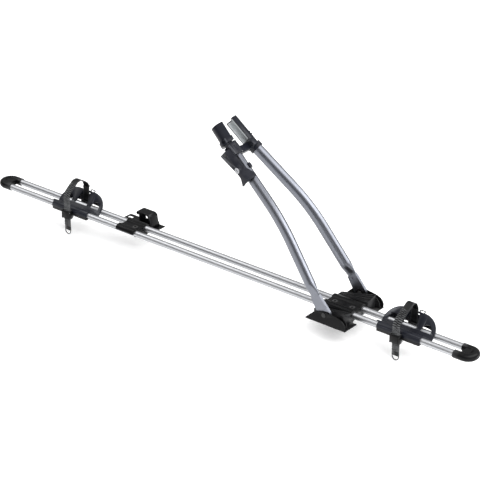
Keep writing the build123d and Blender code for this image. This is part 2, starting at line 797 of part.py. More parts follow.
def jaw_pad(jaw):
    """Rubber liner with shallow grooves along the jaw and a hole over the screw."""
    low, high = jaw_wall + slide_gap, jaw.length - jaw_lip
    pad = jaw.shell(pad_outer_r, pad_inner_r, low, high)
    for i in range(pad_groove_lines):
        angle = radians((i - (pad_groove_lines - 1) / 2) * pad_groove_step_deg)
        pad -= rod(jaw.line(low - overrun, angle, pad_inner_r), jaw.line(high + overrun, angle, pad_inner_r), pad_groove_r)
    return pad - jaw_rod(jaw, 0, jaw_r, pad_hole_r)


def jaw_rod(jaw, low_r, high_r, radius):
    """A round bar across one jaw's wall at its screw."""
    start = jaw.line(jaw.screw_run, jaw.screw_angle, low_r)
    return rod(start, jaw.line(jaw.screw_run, jaw.screw_angle, high_r), radius)


def jaw_screw(jaw, floor_r):
    """Screw from inside whose head lies in the liner's hole."""
    seat_r = pad_outer_r - jaw_screw_seat
    return jaw_rod(jaw, seat_r - jaw_screw_head_t, seat_r, jaw_screw_head_r) + jaw_rod(jaw, seat_r, floor_r, jaw_screw_r)


def screw_pocket(jaw, floor_r, outer_r):
    """Hole for the screw, room for its head inside and a wider mouth on the outside."""
    pocket = jaw_rod(jaw, 0, outer_r, jaw_screw_r) + jaw_rod(jaw, floor_r, outer_r + overrun, jaw_pocket_r)
    return pocket + jaw_rod(jaw, 0, pad_outer_r - jaw_screw_seat, jaw_screw_head_r)


near_pocket_r = jaw_r - jaw_pocket_depth
far_pocket_r = jaw_r - jaw_pocket_depth


def jaw_end_lip(jaw):
    """Rim at the tip that closes over the end of the liner."""
    return jaw.shell(jaw_r, pad_inner_r, jaw.length - jaw_lip, jaw.length)


def head_block(u_low, u_high, half_v, y_low, y_high):
    """A plain block square to the head."""
    face = Pos(0, (y_low + y_high) / 2) * Rectangle(half_v * 2, y_high - y_low)
    return extrude(across_head(u_low) * face, u_high - u_low)


def make_near_jaw():
    """Moving jaw: shell, a thicker root sleeve and a tongue that turns on the jaw pin."""
    place = near_jaw_place
    jaw = place.shell(jaw_r, jaw_r - jaw_wall, 0, place.length)
    sleeve_end = near_sleeve_high_u - near_jaw_root_u
    jaw += place.shell(jaw_r + near_sleeve_wall, jaw_r - jaw_wall, 0, sleeve_end)
    jaw += place.shell(jaw_r + near_sleeve_wall, 0, 0, jaw_wall)
    jaw += jaw_end_lip(place)
    half = jaw_tongue_t / 2
    reach = jaw_tongue_half_y
    tongue = head_block(jaw_pin_u, near_jaw_root_u + jaw_wall / 2, half, jaw_pin_y - jaw_tongue_near, jaw_pin_y + reach)
    tongue += head_rod((jaw_pin_u, -half, jaw_pin_y), (jaw_pin_u, half, jaw_pin_y), reach)
    jaw += tongue
    jaw -= screw_pocket(place, near_pocket_r, jaw_r + near_sleeve_wall)
    return jaw - head_rod((jaw_pin_u, -jaw_r, jaw_pin_y), (jaw_pin_u, jaw_r, jaw_pin_y), jaw_pin_r + pin_gap)


def make_far_jaw():
    """Fixed jaw with a closed root and small teeth along its upper edge."""
    place = far_jaw_place
    jaw = place.shell(jaw_r, jaw_r - jaw_wall, 0, place.length) + place.shell(jaw_r, 0, 0, jaw_wall)
    jaw += jaw_end_lip(place)
    for u in jaw_tooth_us:
        run = u - far_jaw_root_u
        angle = radians(jaw_tooth_deg)
        foot = place.line(run, angle, jaw_r - jaw_wall / 2)
        tip = place.line(run, angle, jaw_r + jaw_tooth_h)
        tooth = Plane(origin=foot, x_dir=place.axis, z_dir=tip - foot) * Rectangle(jaw_tooth_w, jaw_tooth_t)
        jaw += extrude(tooth, (tip - foot).length)
    return jaw - screw_pocket(place, far_pocket_r, jaw_r)


def head_neck(low_u, high_u):
    """Solid neck behind the fixed jaw."""
    place = far_jaw_place
    return place.shell(jaw_r, 0, low_u - far_jaw_root_u, high_u - far_jaw_root_u)


def make_far_collar():
    """Socket on the far arm with a neck that carries the fixed jaw."""
    collar = far_side(make_collar(far_collar_start))
    neck = head_neck(bridge_low_u, far_jaw_root_u)
    return collar + (neck - far_side(arm_bore(arm_run_at(far_collar_start))))


lever_pin_end_w = lever_face_w + lever_t + slide_gap + lever_pin_sunk
lever_boss_w = lever_face_w + lever_boss_depth


def near_housing():
    """Rounded housing above the near arm's socket, with a crown that carries on the jaw's shape."""
    mid_y, depth = -(housing_near_y + housing_far_y) / 2, housing_near_y - housing_far_y
    start_u, end_u = near_collar_start + collar_wall, near_jaw_root_u - housing_top_gap
    face = Pos(0, mid_y) * RectangleRounded(housing_half_v * 2, depth, housing_corner_r)
    housing = extrude(across_head(start_u) * face, end_u - start_u)
    place = near_jaw_place
    housing += place.shell(housing_crown_r, 0, housing_crown_u - near_jaw_root_u, -housing_top_gap)
    drop = tan(radians(housing_relief_deg)) * jaw_r * 2
    relief = [(end_u, -housing_relief_y), (end_u + drop, -housing_relief_y), (end_u + drop, -housing_relief_y - jaw_r * 2),
              (end_u - drop, -housing_relief_y - jaw_r * 2)]
    plane = Plane(origin=head_point(0, -jaw_r - overrun, 0), x_dir=u_dir, z_dir=v_dir)
    flip = 1 if plane.y_dir.Y > 0 else -1
    wedge = extrude(plane * make_face(Polyline(*[(u, flip * y) for u, y in relief], close=True)), (jaw_r + overrun) * 2)
    return housing - wedge


def make_near_block():
    """Socket on the near arm with a slotted housing for the jaw's tongue and a boss for the lever pin."""
    socket = make_collar(near_collar_start) + near_housing()
    half = jaw_tongue_t / 2 + slide_gap
    near_y = -housing_near_y
    socket += head_rod((lever_pin_u, lever_pin_v, lever_boss_w), (lever_pin_u, lever_pin_v, near_y + overrun), lever_boss_r)
    clear_r = jaw_tongue_half_y + slide_gap
    socket -= head_rod((jaw_pin_u, -half, jaw_pin_y), (jaw_pin_u, half, jaw_pin_y), clear_r)
    socket -= head_block(jaw_pin_u, near_jaw_root_u, half, jaw_pin_y - clear_r, jaw_pin_y + clear_r)
    socket -= head_block(jaw_pin_u - jaw_tongue_floor, near_jaw_root_u, half, near_y - jaw_r, jaw_pin_y)
    reach = housing_half_v + overrun
    socket -= head_rod((jaw_pin_u, -reach, jaw_pin_y), (jaw_pin_u, reach, jaw_pin_y), jaw_pin_r)
    socket -= arm_bore(arm_run_at(near_collar_start) - overrun)
    start, end = (lever_pin_u, lever_pin_v, lever_boss_w - overrun), (lever_pin_u, lever_pin_v, lever_pin_end_w)
    return socket - head_rod(start, end, lever_pin_r)


def make_jaw_pin():
    reach = housing_half_v
    return head_rod((jaw_pin_u, -reach, jaw_pin_y), (jaw_pin_u, reach, jaw_pin_y), jaw_pin_r)


# Clamp lever and lock

def lever_station(i):
    """Section of the lever shell at one station, drawn in v and Y."""
    u = lever_us[i]
    left, ridge = lever_left_vs[i], lever_ridge_vs[i]
    right, right_w = lever_right_vs[i], lever_face_w + lever_right_depths[i]
    lip, lip_w = lever_lip_vs[i], lever_face_w + lever_lip_depths[i]
    left_w = lever_face_w + lever_left_depth
    inner_w = lever_face_w + lever_t
    corners = [(left, left_w), (left, lever_face_w), (ridge, lever_face_w), (right, right_w), (lip, lip_w),
               (lip - lever_t * 2 / 3, lip_w), (right - lever_t, right_w + lever_t / 3), (ridge - lever_t / 3, inner_w),
               (left + lever_t, inner_w), (left + lever_t, left_w)]
    plane = across_head(u)
    flip = 1 if plane.y_dir.Y > 0 else -1
    return plane * make_face(Polyline(*[(v, flip * w) for v, w in corners], close=True))


def make_lever():
    """Ridged shell over the outside of the near arm, with a flared tail to pull on."""
    shell = loft([lever_station(i) for i in range(len(lever_us))], ruled=True)
    inner_w = lever_face_w + lever_t
    shell += head_rod((lock_u, lock_v, lever_face_w), (lock_u, lock_v, lever_face_w + lock_depth), lock_r + lock_wall)
    shell -= head_rod((lock_u, lock_v, lever_face_w - overrun), (lock_u, lock_v, lever_face_w + lock_depth + overrun),
                      lock_r + pin_gap)
    return shell - head_rod((lever_pin_u, lever_pin_v, lever_face_w - overrun), (lever_pin_u, lever_pin_v, inner_w + overrun),
                            lever_pin_r + pin_gap)


def make_lever_pin():
    seat_w = lever_face_w - slide_gap
    pin = head_rod((lever_pin_u, lever_pin_v, seat_w), (lever_pin_u, lever_pin_v, lever_pin_end_w), lever_pin_r)
    return pin + head_rod((lever_pin_u, lever_pin_v, seat_w - lever_pin_head_t), (lever_pin_u, lever_pin_v, seat_w),
                          lever_pin_head_r)


def make_lock():
    """Key barrel in the lever."""
    outer_w = lever_face_w - lock_proud
    barrel = head_rod((lock_u, lock_v, outer_w), (lock_u, lock_v, lever_face_w + lock_depth - pin_gap), lock_r)
    half_l, half_w = key_slot_length / 2, key_slot_width / 2
    slot = head_outline([(lock_u - half_l, lock_v - half_w), (lock_u + half_l, lock_v - half_w),
                         (lock_u + half_l, lock_v + half_w), (lock_u - half_l, lock_v + half_w)],
                        outer_w - overrun, outer_w + key_slot_depth)
    return barrel - slot


def make_catch():
    """Small moulded catch on top of the near arm that the lever's shoulder stops against."""
    low, high = arm_run_at(catch_low_u), arm_run_at(catch_high_u)
    plane = arm_section_plane(arm_head + arm_axis * low)
    lobe = extrude(plane * Pos(-catch_side * arm_half_major, catch_offset) * Circle(catch_r), high - low)
    return lobe - extrude(arm_section_plane(arm_head + arm_axis * (low - overrun)) * Ellipse(arm_half_major, arm_half_minor),
                          high - low + 2 * overrun)


# Wheel trays

wing = radians(wing_angle_deg)
wing_root_z = rail_axis_z - wing_root_drop
wing_up = (cos(wing), sin(wing))
keel_top_z = rail_axis_z - keel_split_gap / 2
tray_screw_top_z = wing_root_z - tray_screw_cover


def wing_plane(mid_x):
    """Local x along the rails, local y up the leaning wing, normal towards the wheel."""
    return Plane(origin=(mid_x, wing_root_y, wing_root_z), x_dir=(1, 0, 0), z_dir=(0, -sin(wing), cos(wing)))


def wing_face(inset):
    half, top = wing_half_length - inset, wing_slope_length - inset
    face = make_face(Polyline((-half, 0), (half, 0), (half, top), (-half, top), close=True))
    return fillet(face.vertices().sort_by(Axis.Y)[-2:], wing_corner_r - inset)


def side_hole_face(x, grow):
    """Arch-topped side opening."""
    half = side_hole_half_width + grow
    low, top = side_hole_low - grow, side_hole_low + side_hole_height + grow
    return make_face(Wire([*Polyline((x - half, top - half), (x - half, low), (x + half, low), (x + half, top - half)).edges(),
                           *ThreePointArc((x + half, top - half), (x, top), (x - half, top - half)).edges()]))


def mid_hole_face(grow):
    low_half, top_half = mid_hole_low_half + grow, mid_hole_top_half + grow
    low, top = mid_hole_low - grow, mid_hole_top + grow
    face = make_face(Polyline((-low_half, low), (low_half, low), (top_half, top), (-top_half, top), close=True))
    return fillet(face.vertices(), hole_corner_r)


def make_tray(mid_x):
    """Moulded tray: a crest over the near rail, a valley for the tyre and a leaning wing."""
    plane = wing_plane(mid_x)
    skin = extrude(plane * wing_face(0), -tray_skin)
    open_root = make_face(Polyline((-wing_half_length, -overrun), (wing_half_length, -overrun),
                                   (wing_half_length, rim_low), (-wing_half_length, rim_low), close=True))
    ring = plane * (wing_face(0) - wing_face(flange_t) - open_root)
    rim = extrude(ring, -wing_flange)
    skirt = extrude(ring, wing_slope_length * 2, dir=(0, 0, -1))
    skirt -= block(mid_x - wing_half_length - overrun, mid_x + wing_half_length + overrun, -overrun,
                   wing_root_y + wing_slope_length, -wing_slope_length * 2, wing_skirt_low_z)
    collars = None
    cutters = None
    for face_at in (lambda grow: side_hole_face(-side_hole_x, grow), mid_hole_face,
                    lambda grow: side_hole_face(side_hole_x, grow)):
        collar = extrude(plane * face_at(flange_t), -hole_flange)
        cutter = extrude(Plane(origin=plane.from_local_coords((0, 0, overrun)), x_dir=plane.x_dir, z_dir=plane.z_dir)
                         * face_at(0), -hole_flange - 2 * overrun)
        collars = collar if collars is None else collars + collar
        cutters = cutter if cutters is None else cutters + cutter
    crest_r = rail_r + slide_gap + tray_crest_wall
    x_low, x_high = mid_x + tray_back_x, mid_x + tray_front_x
    near = along_x(crest_r, x_low, x_high, -rail_y, rail_axis_z)
    near -= block(x_low - overrun, x_high + overrun, -rail_y * 2 - crest_r, 0, 0, tray_skirt_low_z)
    crest_side = (-rail_y + crest_r * sin(wing), rail_axis_z + crest_r * cos(wing))
    floor = [(crest_side[0], crest_side[1]), (wing_root_y, wing_root_z),
             (wing_root_y + tray_skin * sin(wing), wing_root_z - tray_skin * cos(wing)),
             (-rail_y + rail_r / 2, wing_root_z - tray_skin * cos(wing)), (-rail_y, rail_axis_z + rail_r)]
    valley = on_yz(floor, mid_x - wing_half_length, mid_x + wing_half_length)
    arch_trim = block(mid_x + tray_front_x, mid_x + wing_half_length + overrun, -rail_pitch, -rail_y + rail_r,
                      rail_axis_z, rail_axis_z + rail_od)
    valley -= arch_trim
    ring_plane = Plane(origin=plane.from_local_coords((0, 0, -tray_skin)), x_dir=plane.x_dir, z_dir=plane.z_dir)
    low, high = wing_slope_length - ring_t, wing_slope_length + ring_height
    loop = make_face(Polyline((ring_x, low), (ring_x + ring_length, low), (ring_x + ring_length, high), (ring_x, high), close=True))
    loop = fillet(loop.vertices().sort_by(Axis.Y)[-2:], ring_t)
    inner = make_face(Polyline((ring_x + ring_t, low + ring_t), (ring_x + ring_length - ring_t, low + ring_t),
                               (ring_x + ring_length - ring_t, high - ring_t), (ring_x + ring_t, high - ring_t), close=True))
    keeper = extrude(ring_plane * (loop - inner), ring_t)
    tray = skin + rim + skirt + collars + near + valley + keeper
    tray -= cutters
    tray -= rail_seats(mid_x - wing_half_length, mid_x + wing_half_length, slide_gap)
    for x in (mid_x - tray_screw_x, mid_x + tray_screw_x):
        tray -= along_z(tray_screw_r, 0, tray_screw_top_z, x, 0)
    return tray


def make_keel(mid_x):
    """Lower clamp under both rails, with an upstand on the far side for the strap."""
    x_low, x_high = mid_x + tray_back_x, mid_x + tray_front_x
    keel = make_saddle_base(x_low, x_high, keel_near_y, keel_far_y, keel_bottom_z, slide_gap)
    valley_low_y, valley_z = -rail_y + rail_r / 2 - slide_gap, wing_root_z - tray_skin * cos(wing) - slide_gap
    keel -= on_yz([(valley_low_y, valley_z), (rail_y, valley_z), (rail_y, rail_axis_z + rail_r),
                   (valley_low_y, rail_axis_z + rail_r)], x_low - overrun, x_high + overrun)
    near_top = tray_skirt_low_z - keel_split_gap
    keel -= block(x_low - overrun, x_high + overrun, keel_near_y - overrun, -rail_y, near_top, rail_axis_z)
    keel += block(mid_x - anchor_w / 2, mid_x + anchor_w / 2, keel_far_y - keel_upstand_t, keel_far_y,
                  keel_top_z - keel_upstand_t, keel_upstand_z)
    keel -= rail_seats(x_low, x_high, slide_gap)
    for x in (mid_x - anchor_rivet_x, mid_x + anchor_rivet_x):
        keel -= along_y(anchor_rivet_r, keel_far_y - keel_upstand_t - overrun, keel_far_y + overrun, x, anchor_rivet_z)
    for x in (mid_x - tray_screw_x, mid_x + tray_screw_x):
        keel -= along_z(tray_screw_r, keel_bottom_z - overrun, rail_axis_z, x, 0)
        keel -= along_z(tray_screw_head_r, keel_bottom_z - overrun, keel_bottom_z + tray_screw_head_t, x, 0)
    return keel


def make_tray_screw(x):
    screw = along_z(tray_screw_r, keel_bottom_z, tray_screw_top_z, x, 0)
    return screw + along_z(tray_screw_head_r, keel_bottom_z, keel_bottom_z + tray_screw_head_t, x, 0)


# Straps and buckles

def strap_points(i):
    """Centre line in Y and Z: down the far side last."""
    return [(strap_near_y, strap_tail_z), (strap_near_y, strap_shoulder_z[i]), (strap_peak_y[i], strap_peak_z[i]),
            (strap_far_y[i], strap_far_z[i]), (strap_end_y, strap_end_z)]


def make_strap(i):
    """Toothed band: up from the tail through the buckle, over the wheel and down to its anchor."""
    mid_x = tray_mid_x[i]
    near, shoulder, peak, far, end = strap_points(i)
    plane = Plane(origin=(mid_x, 0, 0), x_dir=(0, 1, 0), z_dir=(1, 0, 0))
    path = plane * FilletPolyline(near, shoulder, peak, far, end, radius=strap_bends[i][:3])
    section = Plane(origin=(mid_x, near[0], near[1]), x_dir=(1, 0, 0), z_dir=(0, 0, 1)) * Rectangle(strap_w, strap_t)
    band = sweep(section, path)
    tip_z = strap_tail_z + strap_w / 2
    rim_r = strap_tail_hole_half
    hole_z = strap_tail_z + strap_tail_rim + rim_r
    y_low, y_high = strap_near_y - strap_t, strap_near_y + strap_t
    outside = block(mid_x - strap_w, mid_x + strap_w, y_low, y_high, strap_tail_z - overrun, tip_z)
    outside -= along_y(strap_w / 2, y_low - overrun, y_high + overrun, mid_x, tip_z)
    band -= outside
    for x in (mid_x - anchor_rivet_x, mid_x + anchor_rivet_x):
        band -= along_y(anchor_rivet_r, strap_end_y - strap_t, strap_end_y + strap_t, x, anchor_rivet_z)
    return band - along_y(rim_r, y_low - overrun, y_high + overrun, mid_x, hole_z)


def make_buckle(mid_x):
    """Channel on the near face of the tray that the strap runs through."""
    half = buckle_w / 2
    back = block(mid_x - half, mid_x + half, buckle_y - buckle_back_t, buckle_y, buckle_low_z, buckle_high_z)
    body = back
    for side in (-1, 1):
        x_low, x_high = sorted((mid_x + side * half, mid_x + side * (half - buckle_side_t)))
        body += block(x_low, x_high, buckle_y - buckle_depth, buckle_y, buckle_low_z, buckle_high_z)
    foot_y = keel_near_y
    body += block(mid_x - half, mid_x + half, buckle_y, foot_y, buckle_low_z + buckle_back_t, tray_skirt_low_z - keel_split_gap)
    return body - along_x(buckle_pin_r, mid_x - half - overrun, mid_x + half + overrun, buckle_axis_y, buckle_axis_z)


def make_buckle_pin(mid_x):
    half = buckle_w / 2
    return along_x(buckle_pin_r, mid_x - half, mid_x + half, buckle_axis_y, buckle_axis_z)


def make_buckle_lever(mid_x):
    """Pawl lever over the strap; its lip lifts to free the teeth."""
    half = buckle_w / 2 - buckle_side_t - slide_gap
    lever = along_x(buckle_lever_boss_r, mid_x - half, mid_x + half, buckle_axis_y, buckle_axis_z)
    y_low = buckle_axis_y - buckle_lever_boss_r
    lever += block(mid_x - half, mid_x + half, y_low, y_low + buckle_lever_t,
                   buckle_axis_z - buckle_lever_length, buckle_axis_z)
    return lever - along_x(buckle_pin_r + pin_gap, mid_x - half - overrun, mid_x + half + overrun,
                           buckle_axis_y, buckle_axis_z)


def make_anchor(mid_x):
    """Plate that holds the end of the strap against the keel's upstand."""
    y_low = strap_end_y + strap_t / 2 + anchor_tilt_gap
    plate = block(mid_x - anchor_w / 2, mid_x + anchor_w / 2, y_low, y_low + anchor_t, anchor_low_z, anchor_high_z)
    for x in (mid_x - anchor_rivet_x, mid_x + anchor_rivet_x):
        plate -= along_y(anchor_rivet_r, y_low - overrun, y_low + anchor_t + overrun, x, anchor_rivet_z)
    return plate


def make_anchor_rivet(x):
    """Rivet through plate, strap and upstand."""
    outer_y = strap_end_y + strap_t / 2 + anchor_tilt_gap + anchor_t
    inner_y = keel_far_y - keel_upstand_t
    rivet = along_y(anchor_rivet_r, inner_y, outer_y, x, anchor_rivet_z)
    return rivet + along_y(anchor_rivet_head_r, outer_y, outer_y + anchor_rivet_head_t, x, anchor_rivet_z)


# Rear bracket

rear_low_x = rear_mid_x + rear_shift - rear_length / 2
rear_high_x = rear_low_x + rear_length
rear_plate_low_z = pad_t
rear_base_z = pad_t + rear_plate_t
rear_bolt_xs = (rear_mid_x + rear_bolt_x,)


def make_rear_saddle():
    """Half sleeves over both rails, each with two low ribs."""
    saddle = make_saddle(rear_low_x, rear_high_x, rear_sleeve_wall, rear_web_z, slide_gap)
    rib_r = rail_r + slide_gap + rear_sleeve_wall
    for y in (-rail_y, rail_y):
        for angle in (radians(75), radians(115)):
            saddle += along_x(rear_rib_w / 2, rear_low_x, rear_high_x, y + rib_r * cos(angle), rail_axis_z + rib_r * sin(angle))
    return sunk_heads(saddle_bolt_holes(saddle, rear_bolt_xs), rear_bolt_xs, rear_web_z)


def make_rear_base():
    base = make_saddle_base(rear_low_x, rear_high_x, rear_base_near_y, rear_base_far_y, rear_base_z, slide_gap)
    return saddle_bolt_holes(base, rear_bolt_xs)


def make_rear_plate():
    """Steel tongue that reaches out past the far rail, slotted at its back corner."""
    x_low, x_high = rear_mid_x + rear_plate_back_x, rear_mid_x + rear_plate_front_x
    plate = block(rear_low_x, rear_high_x, rear_plate_near_y, rear_plate_waist_y, rear_plate_low_z, rear_base_z)
    plate += block(x_low, x_high, rear_plate_waist_y, rear_plate_far_y, rear_plate_low_z, rear_base_z)
    slot_x, half_l, half_w = rear_mid_x + rear_slot_x, rear_slot_length / 2, rear_slot_width / 2
    plate -= block(slot_x - half_l, slot_x + half_l, rear_slot_y - half_w, rear_slot_y + half_w,
                   rear_plate_low_z - overrun, rear_base_z + overrun)
    ear_x = rear_mid_x + rear_lever_pin_x
    for y in (rear_lever_low_y - slide_gap - rear_ear_t, rear_lever_high_y + slide_gap):
        ear = along_y(rear_ear_r, y, y + rear_ear_t, ear_x, rear_lever_pin_z)
        ear += block(ear_x - rear_ear_r, ear_x + rear_ear_r, y, y + rear_ear_t, rear_plate_low_z, rear_lever_pin_z)
        plate += ear - along_y(rear_lever_pin_r, y - overrun, y + rear_ear_t + overrun, ear_x, rear_lever_pin_z)
    for x in rear_bolt_xs:
        plate -= along_z(bolt_r + bolt_hole_gap, rear_plate_low_z - overrun, rear_base_z + overrun, x, 0)
    return plate


def make_rear_pad():
    half = rear_pad_length / 2
    pad = block(rear_mid_x - half, rear_mid_x + half, rear_pad_near_y, rear_pad_far_y, 0, pad_t)
    for x in rear_bolt_xs:
        pad -= along_z(bolt_r + bolt_pad_gap, -overrun, pad_t + overrun, x, 0)
    return pad


def make_rear_lever():
    """Tall curled clamp lever, hollow, open towards the back."""
    pin_x, pin_z = rear_mid_x + rear_lever_pin_x, rear_lever_pin_z
    front, back = rear_mid_x + rear_lever_front_x, rear_mid_x + rear_lever_back_x
    low_z = rear_base_z + slide_gap
    top_z = low_z + rear_lever_height
    corner = rear_lever_height / 4
    lip_x = back - rear_lever_lip + rear_lip_r
    lip_z = top_z - rear_lip_r
    outline = [(front - corner / 2, low_z), (front, low_z + corner), (front - corner / 3, top_z - corner / 2),
               (front - corner, top_z), (lip_x, top_z), (lip_x, top_z - rear_lever_t), (back, top_z - rear_lever_t * 2),
               (back, low_z)]
    body = on_xz(outline, rear_lever_low_y, rear_lever_high_y)
    hollow = [(front - corner, low_z + rear_lever_t), (front - rear_lever_t, low_z + corner),
              (front - corner / 3 - rear_lever_t, top_z - corner / 2 - rear_lever_t),
              (front - corner, top_z - rear_lever_t), (back - overrun, top_z - rear_lever_t),
              (back - overrun, low_z - overrun), (front - corner, low_z - overrun)]
    body += along_y(rear_lip_r, rear_lever_low_y, rear_lever_high_y, lip_x, lip_z)
    body -= on_xz(hollow, rear_lever_low_y + rear_lever_t, rear_lever_high_y - rear_lever_t)
    body += along_y(rear_lip_r, rear_lever_low_y, rear_lever_high_y, lip_x, lip_z)
    body -= along_y(rear_lip_bore_r, rear_lever_low_y - overrun, rear_lever_high_y + overrun, lip_x, lip_z)
    body -= along_y(rear_lever_hole_r, rear_lever_low_y - overrun, rear_lever_low_y + rear_lever_t + overrun,
                    rear_mid_x + rear_lever_hole_x, rear_lever_hole_z)
    body -= block(back - overrun, rear_mid_x + rear_notch_x, rear_lever_high_y - rear_lever_t - overrun,
                  rear_lever_high_y + overrun, rear_notch_low_z, rear_notch_high_z)
    body += along_y(rear_lever_pin_r * 2, rear_lever_low_y, rear_lever_high_y, pin_x, pin_z)
    return body - along_y(rear_lever_pin_r + pin_gap, rear_lever_low_y - overrun, rear_lever_high_y + overrun, pin_x, pin_z)


def make_rear_lever_pin():
    return along_y(rear_lever_pin_r, rear_lever_low_y - slide_gap - rear_ear_t, rear_lever_high_y + slide_gap + rear_ear_t,
                   rear_mid_x + rear_lever_pin_x, rear_lever_pin_z)


# Write every node

save("near_rail", make_rail(-rail_y))
save("far_rail", make_rail(rail_y))
save("rear_end_cap", make_end_cap(rail_low_x, -1, False))
save("front_end_cap", make_end_cap(rail_high_x, 1, True))

save("foot_bracket", make_foot_bracket())
save("foot_pad", make_foot_pad())
save("foot_saddle", make_foot_saddle())
save("foot_saddle_base", make_foot_saddle_base())
save("foot_clamp_bolts", *[make_clamp_bolt(x, saddle_web_z, bolt_reach) for x in foot_bolt_xs])
save("near_guard", make_guard())
save("far_guard", far_side(make_guard()))
save("near_pivot_pin", make_pivot_pin())
save("far_pivot_pin", far_side(make_pivot_pin()))

save("near_arm", make_arm())
save("far_arm", far_side(make_arm()))
save("pivot_bushes", make_pivot_bush(), far_side(make_pivot_bush()))
save("arm_rivets", make_arm_rivet(), far_side(make_arm_rivet()))

save("head_bridge", make_bridge())
save("near_head_block", make_near_block())
save("far_head_collar", make_far_collar())
save("near_jaw", make_near_jaw())
save("far_jaw", make_far_jaw())
save("near_jaw_pad", jaw_pad(near_jaw_place))
save("far_jaw_pad", jaw_pad(far_jaw_place))
save("near_jaw_screw", jaw_screw(near_jaw_place, near_pocket_r))
save("far_jaw_screw", jaw_screw(far_jaw_place, far_pocket_r))
save("jaw_pin", make_jaw_pin())
save("clamp_lever", make_lever())
save("clamp_lever_pin", make_lever_pin())
save("lock_barrel", make_lock())
save("lever_catch", make_catch())

for i, place in enumerate(("rear", "front")):
    middle = tray_mid_x[i]
    save(place + "_tray", make_tray(middle))
    save(place + "_tray_keel", make_keel(middle))
    save(place + "_tray_screws", make_tray_screw(middle - tray_screw_x), make_tray_screw(middle + tray_screw_x))
    save(place + "_strap", make_strap(i))
    save(place + "_buckle", make_buckle(middle))
    save(place + "_buckle_pin", make_buckle_pin(middle))
    save(place + "_buckle_lever", make_buckle_lever(middle))
    save(place + "_strap_anchor", make_anchor(middle))
    save(place + "_strap_rivets", make_anchor_rivet(middle - anchor_rivet_x), make_anchor_rivet(middle + anchor_rivet_x))

save("bracket_saddle", make_rear_saddle())
save("bracket_saddle_base", make_rear_base())
save("bracket_plate", make_rear_plate())
save("bracket_pad", make_rear_pad())
save("bracket_lever", make_rear_lever())
save("bracket_lever_pin", make_rear_lever_pin())
save("bracket_bolt", *[make_clamp_bolt(x, rear_web_z, rear_bolt_reach) for x in rear_bolt_xs])
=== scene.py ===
# %% [markdown]
# # A roof mounted bicycle carrier
# The carrier is two drawn aluminium tubes with a foot for the front load bar, a
# small bracket for the rear one, two wheel trays with toothed straps, and a pair of
# bent tube arms that hold the bicycle's frame in a two-jaw clamp. Its solids come
# from a CAD model, already at their size and place, so this lesson is about looks:
# rounding moulded edges, modelling the straps and their pull loops, and building the
# finishes from nodes. The car's front is at +x, and near and far are as the picture
# sees them, so the near side is at -y.

import bpy
import json
from math import cos, pi, radians, sin, tan
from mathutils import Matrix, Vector

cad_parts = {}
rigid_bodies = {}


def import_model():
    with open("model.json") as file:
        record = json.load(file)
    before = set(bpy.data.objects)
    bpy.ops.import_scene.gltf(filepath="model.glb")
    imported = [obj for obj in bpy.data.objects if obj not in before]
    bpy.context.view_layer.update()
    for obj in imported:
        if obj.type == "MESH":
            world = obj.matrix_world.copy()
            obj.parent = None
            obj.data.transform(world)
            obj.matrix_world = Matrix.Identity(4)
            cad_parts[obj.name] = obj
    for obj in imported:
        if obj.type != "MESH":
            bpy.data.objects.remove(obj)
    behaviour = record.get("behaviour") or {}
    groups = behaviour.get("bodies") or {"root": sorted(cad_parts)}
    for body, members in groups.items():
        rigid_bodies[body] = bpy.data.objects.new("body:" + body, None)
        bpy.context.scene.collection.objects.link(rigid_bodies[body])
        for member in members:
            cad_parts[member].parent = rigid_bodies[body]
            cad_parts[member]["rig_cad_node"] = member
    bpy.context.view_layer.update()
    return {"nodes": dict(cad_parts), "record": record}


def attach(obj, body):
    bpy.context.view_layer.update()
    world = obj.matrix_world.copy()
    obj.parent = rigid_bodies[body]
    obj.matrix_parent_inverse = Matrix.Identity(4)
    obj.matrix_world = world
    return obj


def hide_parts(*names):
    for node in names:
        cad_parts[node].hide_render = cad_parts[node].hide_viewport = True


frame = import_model()
mm, micron = 0.001, 0.000001

# %% [markdown]
# ## Where each solid belongs
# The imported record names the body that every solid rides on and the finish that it
# has. Two small dictionaries keep both, so that a piece made later for a solid can
# take its place without naming the body again.

# %% Look up bodies and finishes
record = frame["record"]
body_of_node = {}
for body, nodes in record["behaviour"]["bodies"].items():
    for node in nodes:
        body_of_node[node] = body
slot_of_node = {row["node"]: row["material_slot"] for row in record["subparts"]}
print("bodies:", len(set(body_of_node.values())), "finishes:", len(set(slot_of_node.values())))

# %% [markdown]
# ## Selecting one thing at a time
# An operator acts on all that is selected, and the solids are still selected when
# they have been loaded. Everything is therefore deselected first, and every piece is
# taken up by itself before it is worked on, as a hand would in the viewport.

# %% Two helpers for selecting


def clear_selection():
    """Nothing is selected, so that the next operator acts only on what it is given."""
    if bpy.context.object and bpy.context.object.mode != "OBJECT":
        bpy.ops.object.mode_set(mode="OBJECT")
    bpy.ops.object.select_all(action="DESELECT")


def take(obj):
    """Makes one object the selected and active one."""
    clear_selection()
    obj.select_set(True)
    bpy.context.view_layer.objects.active = obj
    return obj


clear_selection()
print("selected:", len(bpy.context.selected_objects))

# %% [markdown]
# ## Finishes
# Each finish is a Principled shader with a few nodes in front of it. The patterns
# read Object coordinates, which are metres here, so a noise scale of 1000 has cells
# about a millimetre wide. Numbers that are the same all over a surface are typed
# into the shader's own sockets. Two short helpers add a node and fill its sockets.

# %% Helpers for a node tree


def feed(tree, socket, value):
    """A socket gets a link or a plain value; a colour gets its alpha here."""
    if isinstance(value, bpy.types.NodeSocket):
        tree.links.new(value, socket)
    else:
        socket.default_value = (*value, 1) if socket.type == "RGBA" else value


def add_node(tree, kind, sockets):
    """A node of one kind, with its sockets filled by name or number."""
    node = tree.nodes.new(kind)
    for key, value in sockets.items():
        feed(tree, node.inputs[key], value)
    return node


